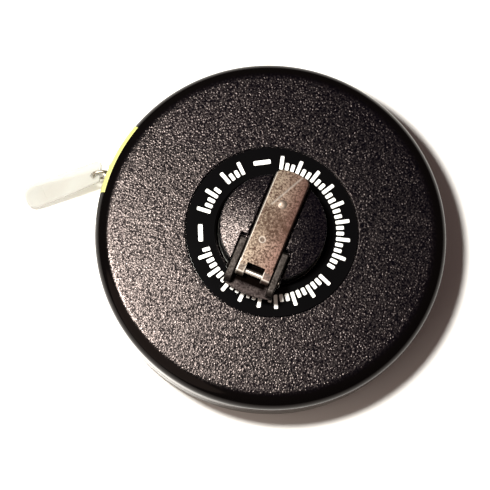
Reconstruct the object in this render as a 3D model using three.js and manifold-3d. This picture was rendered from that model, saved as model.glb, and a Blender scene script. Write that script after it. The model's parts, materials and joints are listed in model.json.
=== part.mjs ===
// A closed-case 20 m surveyor's tape reel, lying on its back.
// Millimetres, +Z up. The drum turns about Z, the back of the case rests on z = 0,
// and the crank is on the +Z side. The tape leaves through the mouth near angle 160.
import * as THREE from 'three';
import { mergeVertices } from 'three/addons/utils/BufferGeometryUtils.js';
import Module from 'manifold-3d';

const wasm = await Module();
wasm.setup();

// Driving dimensions
const GAP = 0.3;                  // running clearance between pieces
const TOUCH = 0.1;                // clearance between pieces that are fastened together
const CASE_RADIUS = 63;
const CASE_HEIGHT = 24;
const WALL = 2.2;
const FRONT_FILLET = 5.3;
const BACK_FILLET = 4.5;
const PARTING_Z = 12;

const POST_RADIUS = 4;            // axle post on the back cover
const POST_TOP = 16.5;
const CORE_RADIUS = 18;
const FLANGE_RADIUS = 55;
const FLANGE_THICKNESS = 1;
const DRUM_BOTTOM = 3.2;
const DRUM_TOP = 18.3;

const TAPE_WIDTH = 13;
const TAPE_THICKNESS = 0.41;
const TAPE_LENGTH = 20000;
const TAPE_BOTTOM = 4.8;
const COIL_INNER = CORE_RADIUS + GAP;

const LABEL_INNER = 20.4;
const LABEL_OUTER = 30.7;
const LABEL_SEAT_Z = 22.9;
const LABEL_THICKNESS = 0.7;

const HUB_RADIUS = 18.8;
const HUB_FILLET = 0.5;
const HUB_BOTTOM = 19.5;
const HUB_EDGE_Z = 31.4;
const HUB_TOP = 33.8;
const CHANNEL_FLOOR = 29.5;
const CHANNEL_HALF = 7.1;
const SEAT_HALF = 9.5;            // wider end of the channel, under the bracket
const WELL_RADIUS = 6;
const WELL_FLOOR = 24.4;
const HUB_OPENING = HUB_RADIUS + 0.45;

const CRANK_ANGLE = 67.8;         // stowed direction of the arm, degrees from +X
const PIN_X = -18.6;
const PIN_RADIUS = 1;
const PIN_Z = 33.1;
const ARM_HALF = 6.25;
const ARM_THICKNESS = 1;
const ARM_END = 19.8;
const KNUCKLE_RADIUS = 2.3;
const ARM_TOP = PIN_Z + KNUCKLE_RADIUS;
const WINDOW_HALF = 3.15;
const WINDOW_REACH = 2.7;           // from the pin to the window's far edge
const KNOB_X = 7.6;
const KNOB_RADIUS = 4.8;
const KNOB_BOTTOM = 25.6;
const BRACKET_HALF = 9.1;
const CHEEK_THICKNESS = 2.6;
const STEM_RADIUS = 1.5;          // the knob turns on this part of its rivet
const TAIL_RADIUS = 1.1;          // the rivet's thinner end through the arm

const MOUTH_START = 141.8;        // angles of the mouth insert on the rim, degrees
const MOUTH_END = 167;
const MOUTH_INNER = CASE_RADIUS - 3.8;
const MOUTH_BOTTOM = 1.5;
const MOUTH_TOP = CASE_HEIGHT - MOUTH_BOTTOM;
const SLOT_HALF = 1.7;            // half thickness of the slot the tape leaves by
const TANGENT_ANGLE = 127.5;      // where the tape leaves the coil, degrees
const TAPE_DIRECTION = TANGENT_ANGLE + 90;
const ROLL_DISTANCE = 33.2;       // along the tape, from the coil to the ferrule's roll
const LINK_DIRECTION = 189;
const LINK_WIDTH = 4.55;
const LINK_HEIGHT = 9;
const WIRE_RADIUS = 0.55;
const TAB_DIRECTION = 197.7;
const TAB_DROOP = 18;             // degrees below horizontal
const TAB_LENGTH = 27.6;          // from the link hole to the tip
const TAB_THICKNESS = 1.8;

const CASE_SCREW_RING = 57.6;
const CASE_SCREW_ANGLES = [15, 105, 195, 285];
const DRUM_SCREW_RING = 12.5;
const DRUM_SCREW_ANGLES = [40, 160, 280];
const BRACKET_RIVETS = [[-11.5, 4], [-11.5, -4]];

const COARSE = 14;                // facets round a small turned piece
const MEDIUM = 32;
const FINE = 56;

const radians = THREE.MathUtils.degToRad;
const polar = (radius, angle) => new THREE.Vector2(
  radius * Math.cos(radians(angle)), radius * Math.sin(radians(angle)));

// Winding a coil of given thickness and length fills a ring of the same side area.
const COIL_OUTER = Math.sqrt(COIL_INNER ** 2 + TAPE_THICKNESS * TAPE_LENGTH / Math.PI);
const TAPE_MIDDLE_Z = TAPE_BOTTOM + TAPE_WIDTH / 2;

// ---- solids ---------------------------------------------------------------

function signedVolume(positions, triangles) {
  let volume = 0;
  const [a, b, c] = [new THREE.Vector3(), new THREE.Vector3(), new THREE.Vector3()];
  for (let i = 0; i < triangles.length; i += 3) {
    a.fromArray(positions, triangles[i] * 3);
    b.fromArray(positions, triangles[i + 1] * 3);
    c.fromArray(positions, triangles[i + 2] * 3);
    volume += a.dot(b.cross(c)) / 6;
  }
  return volume;
}

// A closed three.js geometry as a solid: shared vertices merged, faces pointing out.
function solid(geometry) {
  const bare = geometry.clone();
  bare.deleteAttribute('normal');
  bare.deleteAttribute('uv');
  const merged = mergeVertices(bare, 1e-4);
  const positions = new Float32Array(merged.attributes.position.array);
  const triangles = [];
  for (let i = 0; i < merged.index.count; i += 3) {
    const [a, b, c] = [0, 1, 2].map((k) => merged.index.getX(i + k));
    if (a !== b && b !== c && c !== a) triangles.push(a, b, c);
  }
  if (signedVolume(positions, triangles) < 0) triangles.reverse();
  const mesh = new wasm.Mesh({
    numProp: 3, vertProperties: positions, triVerts: new Uint32Array(triangles) });
  return new wasm.Manifold(mesh);
}

function geometryOf(manifold) {
  const mesh = manifold.getMesh();
  const geometry = new THREE.BufferGeometry();
  geometry.setAttribute('position', new THREE.BufferAttribute(mesh.vertProperties, 3));
  geometry.setIndex(new THREE.BufferAttribute(mesh.triVerts, 1));
  geometry.computeVertexNormals();
  return geometry;
}

const joined = (first, ...rest) => rest.reduce((sum, each) => sum.add(each), first);
const cut = (first, ...rest) => rest.reduce((sum, each) => sum.subtract(each), first);

// Turned about Z from [radius, z] points; a profile off the axis closes on itself.
function turned(profile, segments) {
  const onAxis = profile[0][0] === 0 && profile[profile.length - 1][0] === 0;
  const points = (onAxis ? profile : [...profile, profile[0]])
    .map(([radius, z]) => new THREE.Vector2(radius, z));
  return solid(new THREE.LatheGeometry(points, segments).rotateX(Math.PI / 2));
}

function extruded(outline, bottom, top, curveSegments = 8) {
  const options = { depth: top - bottom, bevelEnabled: false, curveSegments };
  return solid(new THREE.ExtrudeGeometry(outline, options).translate(0, 0, bottom));
}

function block(x0, x1, y0, y1, z0, z1) {
  const box = new THREE.BoxGeometry(x1 - x0, y1 - y0, z1 - z0);
  return solid(box.translate((x0 + x1) / 2, (y0 + y1) / 2, (z0 + z1) / 2));
}

function rodZ(radius, x, y, bottom, top, segments = COARSE) {
  const rod = new THREE.CylinderGeometry(radius, radius, top - bottom, segments);
  return solid(rod.rotateX(Math.PI / 2).translate(x, y, (bottom + top) / 2));
}

function rodY(radius, x, z, y0, y1, segments = COARSE) {
  const rod = new THREE.CylinderGeometry(radius, radius, y1 - y0, segments);
  return solid(rod.translate(x, (y0 + y1) / 2, z));
}

// Points of an arc in the [radius, z] plane, from one angle to another in degrees.
function arc(centreRadius, centreZ, radius, from, to, steps) {
  return Array.from({ length: steps + 1 }, (_, i) => {
    const angle = radians(from + (to - from) * i / steps);
    return [centreRadius + radius * Math.cos(angle), centreZ + radius * Math.sin(angle)];
  });
}

// A block as deep as the rim, between two angles, for cutting the mouth.
function sector(from, to, inner, outer, bottom, top) {
  const outline = new THREE.Shape();
  outline.absarc(0, 0, outer, radians(from), radians(to), false);
  outline.absarc(0, 0, inner, radians(to), radians(from), true);
  return extruded(outline, bottom, top, 12);
}

// ---- materials --------------------------------------------------------------

const finish = (color, roughness, metalness = 0) =>
  new THREE.MeshStandardMaterial({ color, roughness, metalness });
const blackPlastic = () => finish(0x2b2829, 0.55);
const glossBlack = () => finish(0x121214, 0.2);
const nickel = () => finish(0xa8917c, 0.35, 0.9);
const steel = () => finish(0x8b8880, 0.4, 0.9);
const greyPlastic = () => finish(0x9a9a94, 0.6);

// ---- the case ---------------------------------------------------------------

const tongueInner = CASE_RADIUS - WALL;
const tongueOuter = tongueInner + 1;
const frontCentre = CASE_RADIUS - FRONT_FILLET;
const frontCentreZ = CASE_HEIGHT - FRONT_FILLET;
const backCentre = CASE_RADIUS - BACK_FILLET;

// A boss near the rim with a web that ties it to the wall.
function caseBoss(angle, bottom, top) {
  const centre = polar(CASE_SCREW_RING, angle);
  const web = block(CASE_SCREW_RING, tongueInner + 0.4, -1.1, 1.1, bottom, top)
    .rotate([0, 0, angle]);
  return joined(rodZ(2.2, centre.x, centre.y, bottom, top), web);
}

function mouthCut(clearance) {
  const spare = clearance / CASE_RADIUS * 180 / Math.PI;
  return sector(MOUTH_START - spare, MOUTH_END + spare,
    MOUTH_INNER - clearance, CASE_RADIUS + 3, MOUTH_BOTTOM - clearance,
    MOUTH_TOP + clearance);
}

function backCover() {
  const shell = turned([
    [0, 0], [backCentre, 0],
    ...arc(backCentre, BACK_FILLET, BACK_FILLET, -90, 0, 5),
    [CASE_RADIUS, PARTING_Z - GAP / 2], [tongueOuter, PARTING_Z - GAP / 2],
    [tongueOuter, PARTING_Z + 1.3], [tongueInner, PARTING_Z + 1.3],
    ...arc(backCentre, BACK_FILLET, BACK_FILLET - WALL, 0, -90, 3),
    [POST_RADIUS + 5.6, WALL], [POST_RADIUS + 5.6, WALL - 0.5],
    [POST_RADIUS, WALL - 0.5], [POST_RADIUS, POST_TOP - 0.8],
    [POST_RADIUS - 0.8, POST_TOP], [0, POST_TOP]], FINE);
  const bosses = CASE_SCREW_ANGLES.map((angle) => caseBoss(angle, 1.8, PARTING_Z - GAP / 2));
  const holes = CASE_SCREW_ANGLES.flatMap((angle) => {
    const { x, y } = polar(CASE_SCREW_RING, angle);
    return [rodZ(1.6, x, y, -1, PARTING_Z + 1), rodZ(2.4, x, y, -1, 1.5)];
  });
  return cut(joined(shell, ...bosses), ...holes, mouthCut(GAP));
}

function frontCover() {
  const shell = turned([
    [HUB_OPENING, LABEL_SEAT_Z - 1.5], [tongueInner - 27, LABEL_SEAT_Z - 1.5],
    [tongueInner - 26, CASE_HEIGHT - WALL],
    ...arc(frontCentre, frontCentreZ, FRONT_FILLET - WALL, 90, 0, 3),
    [tongueInner, PARTING_Z + 1.6], [tongueOuter + GAP, PARTING_Z + 1.6],
    [tongueOuter + GAP, PARTING_Z + GAP / 2], [CASE_RADIUS, PARTING_Z + GAP / 2],
    ...arc(frontCentre, frontCentreZ, FRONT_FILLET, 0, 90, 6),
    [LABEL_OUTER + GAP, CASE_HEIGHT], [LABEL_OUTER + 0.1, LABEL_SEAT_Z],
    [LABEL_INNER - 0.2, LABEL_SEAT_Z], [LABEL_INNER - 0.2, LABEL_SEAT_Z + 0.5],
    [HUB_OPENING, LABEL_SEAT_Z + 0.5]], FINE);
  const bosses = CASE_SCREW_ANGLES.map(
    (angle) => caseBoss(angle, PARTING_Z + GAP / 2, CASE_HEIGHT - WALL + 0.2));
  const holes = CASE_SCREW_ANGLES.map((angle) => {
    const { x, y } = polar(CASE_SCREW_RING, angle);
    return rodZ(1.5, x, y, PARTING_Z - 1, 20.6);
  });
  const tongueSlot = turned([
    [tongueInner - 6, PARTING_Z + GAP / 2], [tongueOuter + GAP, PARTING_Z + GAP / 2],
    [tongueOuter + GAP, PARTING_Z + 1.6], [tongueInner - 6, PARTING_Z + 1.6]], FINE);
  return cut(joined(shell, ...bosses), tongueSlot, ...holes, mouthCut(GAP));
}

// A screw whose head is at the bottom: a pan head and a plain shank.
function screw(x, y, headBottom, headRadius, shankRadius, tip) {
  const headTop = headBottom + 1.2;
  const body = turned([
    [0, headBottom], [headRadius - 0.4, headBottom], [headRadius, headBottom + 0.5],
    [headRadius, headTop], [shankRadius, headTop], [shankRadius, tip - 0.8],
    [0, tip]], COARSE).translate([x, y, 0]);
  const slot = block(x - 0.3, x + 0.3, y - headRadius * 0.7, y + headRadius * 0.7,
    headBottom - 1, headBottom + 0.5);
  const cross = block(x - headRadius * 0.7, x + headRadius * 0.7, y - 0.3, y + 0.3,
    headBottom - 1, headBottom + 0.5);
  return cut(body, slot, cross);
}

const caseScrew = (angle) => {
  const { x, y } = polar(CASE_SCREW_RING, angle);
  return screw(x, y, 0.2, 2.05, 1.25, 20.2);
};

const labelRing = () => turned([
  [LABEL_INNER, LABEL_SEAT_Z + TOUCH], [LABEL_OUTER, LABEL_SEAT_Z + TOUCH],
  [LABEL_OUTER, LABEL_SEAT_Z + LABEL_THICKNESS],
  [LABEL_INNER, LABEL_SEAT_Z + LABEL_THICKNESS]], FINE);

// The tape's path as a box of given half thickness, from one distance to another
// along the tape from where it leaves the coil.
function alongTape(from, to, halfThickness, bottom, top) {
  return block(from, to, -halfThickness, halfThickness, bottom, top)
    .rotate([0, 0, TAPE_DIRECTION]).translate([tapeStart.x, tapeStart.y, 0]);
}
const tapeStart = polar(COIL_OUTER + GAP + TAPE_THICKNESS / 2, TANGENT_ANGLE);
const tapePoint = (distance) => tapeStart.clone().add(polar(distance, TAPE_DIRECTION));

// The mouth insert follows the case's rounded rim, with a slot for the tape.
function mouthInsert() {
  const proud = 0.15;
  const rim = turned([
    [MOUTH_INNER, 0.2],
    ...arc(backCentre, BACK_FILLET, BACK_FILLET + proud, -90, 0, 5),
    ...arc(frontCentre, frontCentreZ, FRONT_FILLET + proud, 0, 90, 6),
    [MOUTH_INNER, CASE_HEIGHT - 0.2]], FINE * 2);
  const wedge = sector(MOUTH_START, MOUTH_END, MOUTH_INNER, CASE_RADIUS + 3,
    MOUTH_BOTTOM, MOUTH_TOP);
  const slot = alongTape(20, 45, SLOT_HALF, TAPE_MIDDLE_Z - 7.3, TAPE_MIDDLE_Z + 7.3);
  const roll = tapePoint(ROLL_DISTANCE);
  const relief = rodZ(2.6, roll.x, roll.y, TAPE_MIDDLE_Z - 6, TAPE_MIDDLE_Z + 6);
  return cut(rim.intersect(wedge), slot, relief);
}

// ---- the drum ---------------------------------------------------------------

const washer = () => turned([
  [POST_RADIUS + 0.4, WALL - 0.4], [POST_RADIUS + 5, WALL - 0.4],
  [POST_RADIUS + 5, DRUM_BOTTOM - GAP], [POST_RADIUS + 0.4, DRUM_BOTTOM - GAP]], MEDIUM);

const drumScrewPlaces = DRUM_SCREW_ANGLES.map(
  (angle) => polar(DRUM_SCREW_RING, angle + CRANK_ANGLE));
const anchorPlace = polar(CORE_RADIUS - 1.3, 300);

function drumCore() {
  const spool = turned([
    [POST_RADIUS + GAP, DRUM_BOTTOM], [FLANGE_RADIUS, DRUM_BOTTOM],
    [FLANGE_RADIUS, DRUM_BOTTOM + FLANGE_THICKNESS],
    [CORE_RADIUS, DRUM_BOTTOM + FLANGE_THICKNESS], [CORE_RADIUS, DRUM_TOP],
    [POST_RADIUS + GAP, DRUM_TOP]], FINE);
  const holes = drumScrewPlaces.flatMap(({ x, y }) => [
    rodZ(1.6, x, y, 0, DRUM_TOP + 1), rodZ(2.8, x, y, 0, DRUM_BOTTOM + 1.6)]);
  const groove = rodZ(1.5, anchorPlace.x, anchorPlace.y,
    DRUM_BOTTOM + FLANGE_THICKNESS, DRUM_TOP + 1);
  return cut(spool, ...holes, groove);
}

function frontFlange() {
  const disc = turned([
    [POST_RADIUS + GAP, DRUM_TOP + TOUCH], [FLANGE_RADIUS, DRUM_TOP + TOUCH],
    [FLANGE_RADIUS, DRUM_TOP + FLANGE_THICKNESS],
    [POST_RADIUS + GAP, DRUM_TOP + FLANGE_THICKNESS]], FINE);
  return cut(disc, ...drumScrewPlaces.map(
    ({ x, y }) => rodZ(1.6, x, y, DRUM_TOP - 1, HUB_BOTTOM)));
}

const tapeCoil = () => turned([
  [COIL_INNER, TAPE_BOTTOM], [COIL_OUTER, TAPE_BOTTOM],
  [COIL_OUTER, TAPE_BOTTOM + TAPE_WIDTH], [COIL_INNER, TAPE_BOTTOM + TAPE_WIDTH]], FINE);

const tapeAnchor = () => rodZ(1.2, anchorPlace.x, anchorPlace.y,
  TAPE_BOTTOM, TAPE_BOTTOM + TAPE_WIDTH);

// Domed hub with a channel for the stowed crank and a well for its knob.
function hubCap() {
  const rise = HUB_TOP - HUB_EDGE_Z;
  const domeBase = HUB_RADIUS - HUB_FILLET;
  const domeRadius = (domeBase ** 2 + rise ** 2) / (2 * rise);
  const reach = THREE.MathUtils.radToDeg(Math.asin(domeBase / domeRadius));
  const dome = turned([
    [0, HUB_BOTTOM], [HUB_RADIUS, HUB_BOTTOM],
    ...arc(HUB_RADIUS - HUB_FILLET, HUB_EDGE_Z - HUB_FILLET, HUB_FILLET, 0, 75, 3),
    ...arc(0, HUB_TOP - domeRadius, domeRadius, 90 - reach, 90, 5).slice(0, -1),
    [0, HUB_TOP]], MEDIUM * 1.5);
  const channel = block(-25, 25, -CHANNEL_HALF, CHANNEL_HALF, CHANNEL_FLOOR, 40);
  const seat = block(-25, PIN_X + 12.4, -SEAT_HALF, SEAT_HALF, CHANNEL_FLOOR, 40);
  const well = rodZ(WELL_RADIUS, KNOB_X, 0, WELL_FLOOR, 40, 24);
  const pilots = BRACKET_RIVETS.map(([x, y]) => rodZ(1, x, y, 25, 40));
  const body = cut(dome, channel, seat, well, ...pilots).rotate([0, 0, CRANK_ANGLE]);
  return cut(body, ...drumScrewPlaces.map(({ x, y }) => rodZ(1.6, x, y, 0, 23.7)));
}

const drumScrew = ({ x, y }) => screw(x, y, DRUM_BOTTOM + 0.3, 2.4, 1.3, 23.3);

// ---- the crank (drawn along +X, turned to its stowed direction by its group) ----

function bracket() {
  const thickness = 0.9;
  const bottom = CHANNEL_FLOOR + TOUCH;
  const near = PIN_X - 5.8;
  const far = PIN_X + 11.3;
  const plan = new THREE.Shape();
  plan.moveTo(far, -BRACKET_HALF);
  plan.lineTo(far, BRACKET_HALF);
  plan.lineTo(near, BRACKET_HALF);
  plan.quadraticCurveTo(near - 2.8, 0, near, -BRACKET_HALF);
  const base = extruded(plan, bottom, bottom + thickness);
  const side = new THREE.Shape();
  side.moveTo(near, bottom);
  side.lineTo(far, bottom);
  side.lineTo(far, bottom + 2.2);
  side.quadraticCurveTo(far, PIN_Z + 1.9, far - 1.6, PIN_Z + 1.9);
  side.lineTo(near + 3, PIN_Z + 1.9);
  side.quadraticCurveTo(near, PIN_Z + 1.9, near, bottom + 2.6);
  const cheeks = [-BRACKET_HALF, BRACKET_HALF - CHEEK_THICKNESS].map((y) => {
    const cheek = new THREE.ExtrudeGeometry(side,
      { depth: CHEEK_THICKNESS, bevelEnabled: false, curveSegments: 5 });
    return solid(cheek.rotateX(Math.PI / 2).translate(0, y + CHEEK_THICKNESS, 0));
  });
  const pinHole = rodY(PIN_RADIUS + GAP, PIN_X, PIN_Z,
    -BRACKET_HALF - 1, BRACKET_HALF + 1);
  const rivetHoles = BRACKET_RIVETS.map(([x, y]) => rodZ(1, x, y, bottom - 1, bottom + 2));
  return cut(joined(base, ...cheeks), pinHole, ...rivetHoles);
}

const bracketRivet = ([x, y]) => turned([
  [0, 25.4], [0.7, 25.4], [0.7, CHANNEL_FLOOR + 1.1], [1.6, CHANNEL_FLOOR + 1.1],
  [1.5, CHANNEL_FLOOR + 1.5], [0.9, CHANNEL_FLOOR + 1.8], [0, CHANNEL_FLOOR + 1.9]], COARSE)
  .translate([x, y, 0]);

function hingePin() {
  const end = 9.2;
  const pin = turned([
    [0, -end - 0.7], [1.5, -end - 0.7], [1.7, -end - 0.4], [1.7, -end], [PIN_RADIUS, -end],
    [PIN_RADIUS, end], [1.7, end], [1.7, end + 0.4], [1.5, end + 0.7], [0, end + 0.7]],
  COARSE);
  return pin.rotate([90, 0, 0]).translate([PIN_X, 0, PIN_Z]);
}

// A stamped channel: a top plate, two turned-down flanges and two rolled knuckles.
function crankArm() {
  const plan = new THREE.Shape();
  plan.moveTo(PIN_X, -ARM_HALF);
  plan.lineTo(ARM_END - 2, -ARM_HALF);
  plan.quadraticCurveTo(ARM_END - 0.4, -ARM_HALF, ARM_END - 0.3, -ARM_HALF + 1.6);
  plan.quadraticCurveTo(ARM_END + 0.4, 0, ARM_END - 0.3, ARM_HALF - 1.6);
  plan.quadraticCurveTo(ARM_END - 0.4, ARM_HALF, ARM_END - 2, ARM_HALF);
  plan.lineTo(PIN_X, ARM_HALF);
  const plate = extruded(plan, ARM_TOP - ARM_THICKNESS, ARM_TOP);
  const flanges = [-ARM_HALF, ARM_HALF - ARM_THICKNESS].map((y) =>
    block(PIN_X + WINDOW_REACH, ARM_END - 2, y, y + ARM_THICKNESS, ARM_TOP - 3, ARM_TOP - 0.2));
  const knuckles = [-ARM_HALF, WINDOW_HALF].map((y) =>
    rodY(KNUCKLE_RADIUS, PIN_X, PIN_Z, y, y + ARM_HALF - WINDOW_HALF));
  const window = block(PIN_X - 4, PIN_X + WINDOW_REACH, -WINDOW_HALF, WINDOW_HALF, 28, 40);
  const pinHole = rodY(PIN_RADIUS + GAP, PIN_X, PIN_Z, -ARM_HALF - 1, ARM_HALF + 1);
  const knobHole = rodZ(TAIL_RADIUS + TOUCH, KNOB_X, 0, 30, 40);
  return cut(joined(plate, ...flanges, ...knuckles), window, pinHole, knobHole);
}

// The rivet the knob turns on: a low head on the arm and a collar inside the knob.
const knobRivet = () => turned([
  [0, KNOB_BOTTOM + 0.5], [2.6, KNOB_BOTTOM + 0.5], [2.6, KNOB_BOTTOM + 1.4],
  [STEM_RADIUS, KNOB_BOTTOM + 1.4], [STEM_RADIUS, ARM_TOP - ARM_THICKNESS - TOUCH],
  [TAIL_RADIUS, ARM_TOP - ARM_THICKNESS - TOUCH], [TAIL_RADIUS, ARM_TOP + TOUCH],
  [1.6, ARM_TOP + TOUCH], [1.5, ARM_TOP + 0.3], [0.8, ARM_TOP + 0.6], [0, ARM_TOP + 0.7]], COARSE)
  .translate([KNOB_X, 0, 0]);

function crankKnob() {
  const top = ARM_TOP - ARM_THICKNESS - GAP;
  return turned([
    [3, KNOB_BOTTOM], [KNOB_RADIUS - 0.7, KNOB_BOTTOM], [KNOB_RADIUS, KNOB_BOTTOM + 0.8],
    [KNOB_RADIUS, KNOB_BOTTOM + 3], [KNOB_RADIUS - 0.9, top - 1.8], [KNOB_RADIUS - 0.9, top],
    [1.85, top], [1.85, KNOB_BOTTOM + 1.75], [3, KNOB_BOTTOM + 1.75]], 24)
    .translate([KNOB_X, 0, 0]);
}

// ---- the tape's end -----------------------------------------------------------

const tapeTail = () => alongTape(0, ROLL_DISTANCE - 1.5, TAPE_THICKNESS / 2,
  TAPE_BOTTOM, TAPE_BOTTOM + TAPE_WIDTH);

// A folded steel end: two leaves over the tape and a rolled eye for the link.
function ferrule() {
  const eyeHalf = 2.8;
  const inside = TAPE_THICKNESS / 2 + TOUCH;
  const leaves = alongTape(ROLL_DISTANCE - 5.6, ROLL_DISTANCE - 0.9, 0.75,
    TAPE_BOTTOM - 0.2, TAPE_BOTTOM + TAPE_WIDTH + 0.2);
  const mortise = alongTape(ROLL_DISTANCE - 7, ROLL_DISTANCE - 1.4, inside,
    TAPE_BOTTOM - 1, TAPE_BOTTOM + TAPE_WIDTH + 1);
  const roll = tapePoint(ROLL_DISTANCE);
  const eye = rodZ(1.3, roll.x, roll.y, TAPE_MIDDLE_Z - eyeHalf, TAPE_MIDDLE_Z + eyeHalf);
  const bore = rodZ(WIRE_RADIUS + 0.25, roll.x, roll.y,
    TAPE_MIDDLE_Z - 8, TAPE_MIDDLE_Z + 8);
  return cut(joined(leaves, eye), mortise, bore);
}

// A closed wire link in the upright plane, from the ferrule's eye to the tab's hole.
function wireLink() {
  const half = LINK_HEIGHT / 2;
  const bend = 1.3;
  const corners = [[0, -half], [LINK_WIDTH, -half], [LINK_WIDTH, half], [0, half]];
  const path = new THREE.CurvePath();
  corners.forEach((corner, i) => {
    const at = new THREE.Vector2(...corner);
    const before = new THREE.Vector2(...corners[(i + 3) % 4]);
    const after = new THREE.Vector2(...corners[(i + 1) % 4]);
    const start = at.clone().add(before.clone().sub(at).setLength(bend));
    const end = at.clone().add(after.clone().sub(at).setLength(bend));
    const next = after.clone().add(at.clone().sub(after).setLength(bend));
    const upright = (point) => new THREE.Vector3(point.x, 0, point.y);
    path.add(new THREE.QuadraticBezierCurve3(upright(start), upright(at), upright(end)));
    path.add(new THREE.LineCurve3(upright(end), upright(next)));
  });
  const section = new THREE.Shape();
  section.absarc(0, 0, WIRE_RADIUS, 0, Math.PI * 2);
  const wire = new THREE.ExtrudeGeometry(section,
    { extrudePath: path, steps: 36, curveSegments: 4, bevelEnabled: false });
  const roll = tapePoint(ROLL_DISTANCE);
  return solid(wire).rotate([0, 0, LINK_DIRECTION]).translate([roll.x, roll.y, TAPE_MIDDLE_Z]);
}

// The moulded pull tab, drawn from the link's hole along +X, then drooped and turned.
function pullTab() {
  const plan = new THREE.Shape();
  plan.moveTo(-1.4, -2.9);
  plan.lineTo(8, -3.3);
  plan.lineTo(TAB_LENGTH - 4.6, -3.7);
  plan.quadraticCurveTo(TAB_LENGTH, -3.7, TAB_LENGTH, 0.9);
  plan.quadraticCurveTo(TAB_LENGTH, 5.5, TAB_LENGTH - 4.6, 5.5);
  plan.lineTo(8, 5.1);
  plan.lineTo(-2, 4.7);
  plan.quadraticCurveTo(-4.4, 4.6, -4, 2.6);
  const body = extruded(plan, -TAB_THICKNESS / 2, TAB_THICKNESS / 2);
  const hole = rodZ(WIRE_RADIUS + 0.6, 0, 0, -2, 2);
  const hook = tapePoint(ROLL_DISTANCE).add(polar(LINK_WIDTH, LINK_DIRECTION));
  return cut(body, hole).scale([1, -1, 1]).rotate([0, TAB_DROOP, 0])
    .rotate([0, 0, TAB_DIRECTION]).translate([hook.x, hook.y, TAPE_MIDDLE_Z]);
}

// ---- assembly -------------------------------------------------------------------

const reel = new THREE.Group();
const crank = new THREE.Group();
crank.rotation.z = radians(CRANK_ANGLE);
reel.add(crank);

function place(parent, name, shape, material) {
  const mesh = new THREE.Mesh(geometryOf(shape), material);
  mesh.name = name;
  parent.add(mesh);
}

place(reel, 'back_cover', backCover(), blackPlastic());
place(reel, 'front_cover', frontCover(), blackPlastic());
CASE_SCREW_ANGLES.forEach((angle, i) =>
  place(reel, `case_screw_${i + 1}`, caseScrew(angle), steel()));
place(reel, 'label_ring', labelRing(), glossBlack());
place(reel, 'mouth_insert', mouthInsert(), finish(0xf1ee7e, 0.45));
place(reel, 'thrust_washer', washer(), finish(0xe9e6da, 0.5));

place(reel, 'drum_core', drumCore(), greyPlastic());
place(reel, 'drum_front_flange', frontFlange(), greyPlastic());
place(reel, 'tape_coil', tapeCoil(), finish(0xf2e27a, 0.5));
place(reel, 'tape_anchor_pin', tapeAnchor(), steel());
drumScrewPlaces.forEach((spot, i) =>
  place(reel, `drum_screw_${i + 1}`, drumScrew(spot), steel()));
place(reel, 'hub_cap', hubCap(), blackPlastic());

place(crank, 'crank_bracket', bracket(), steel());
BRACKET_RIVETS.forEach((spot, i) =>
  place(crank, `bracket_rivet_${i + 1}`, bracketRivet(spot), steel()));
place(crank, 'hinge_pin', hingePin(), steel());
place(crank, 'crank_arm', crankArm(), nickel());
place(crank, 'knob_rivet', knobRivet(), nickel());
place(crank, 'crank_knob', crankKnob(), glossBlack());

place(reel, 'tape_tail', tapeTail(), finish(0xf2e27a, 0.5));
place(reel, 'tape_end_ferrule', ferrule(), steel());
place(reel, 'wire_link', wireLink(), steel());
place(reel, 'pull_tab', pullTab(), finish(0xf3f0e2, 0.45));

export default reel;
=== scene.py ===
"""Looks of a closed-case surveyor's tape reel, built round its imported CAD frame.

Shape helpers work in millimetres and make meshes in metres. The crank's pieces are drawn
along +X and turned to the crank's stowed direction, which the fold joint's axis gives.
"""
import json
import math

import bmesh
import bpy
from mathutils import Matrix, Vector


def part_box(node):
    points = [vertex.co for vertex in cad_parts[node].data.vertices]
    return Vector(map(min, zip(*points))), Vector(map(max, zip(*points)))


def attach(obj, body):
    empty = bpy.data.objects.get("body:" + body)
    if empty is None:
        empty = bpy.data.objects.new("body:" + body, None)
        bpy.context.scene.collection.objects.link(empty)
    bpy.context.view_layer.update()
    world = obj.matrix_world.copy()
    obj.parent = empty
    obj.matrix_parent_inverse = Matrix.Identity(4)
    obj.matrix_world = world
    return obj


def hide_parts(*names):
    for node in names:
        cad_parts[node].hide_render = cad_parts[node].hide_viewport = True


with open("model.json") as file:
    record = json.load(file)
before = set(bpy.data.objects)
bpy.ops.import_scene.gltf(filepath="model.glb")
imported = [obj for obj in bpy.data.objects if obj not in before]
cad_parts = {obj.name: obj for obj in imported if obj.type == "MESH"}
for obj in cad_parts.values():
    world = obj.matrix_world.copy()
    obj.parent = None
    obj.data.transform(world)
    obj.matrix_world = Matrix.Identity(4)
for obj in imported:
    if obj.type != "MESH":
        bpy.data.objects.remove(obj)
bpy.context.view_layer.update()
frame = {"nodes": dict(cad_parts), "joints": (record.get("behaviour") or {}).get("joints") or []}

MM = 0.001
JOINTS = {joint["name"]: joint for joint in frame["joints"]}


def box_mm(node):
    """A CAD node's lowest and highest corners, in millimetres."""
    low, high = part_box(node)
    return Vector(low) / MM, Vector(high) / MM


# ---- sizes, in millimetres ----------------------------------------------------------

front_low, front_high = box_mm("front_cover")
CASE_RADIUS = front_high.x
CASE_HEIGHT = front_high.z
PARTING_Z = front_low.z - 0.15
WALL = 2.2
FRONT_FILLET = 5.3
BACK_FILLET = 4.5

label_low, label_high = box_mm("label_ring")
LABEL_OUTER = label_high.x
LABEL_INNER = 20.4
LABEL_SEAT_Z = label_low.z - 0.1

hub_low, hub_high = box_mm("hub_cap")
HUB_RADIUS = 18.8
HUB_FILLET = 0.35
HUB_TOP = hub_high.z
HUB_EDGE_Z = 31.4
CHANNEL_FLOOR = 29.5
CHANNEL_HALF = 7.1
SEAT_HALF = 9.5
WELL_RADIUS = 6
WELL_FLOOR = 24.4

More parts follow.
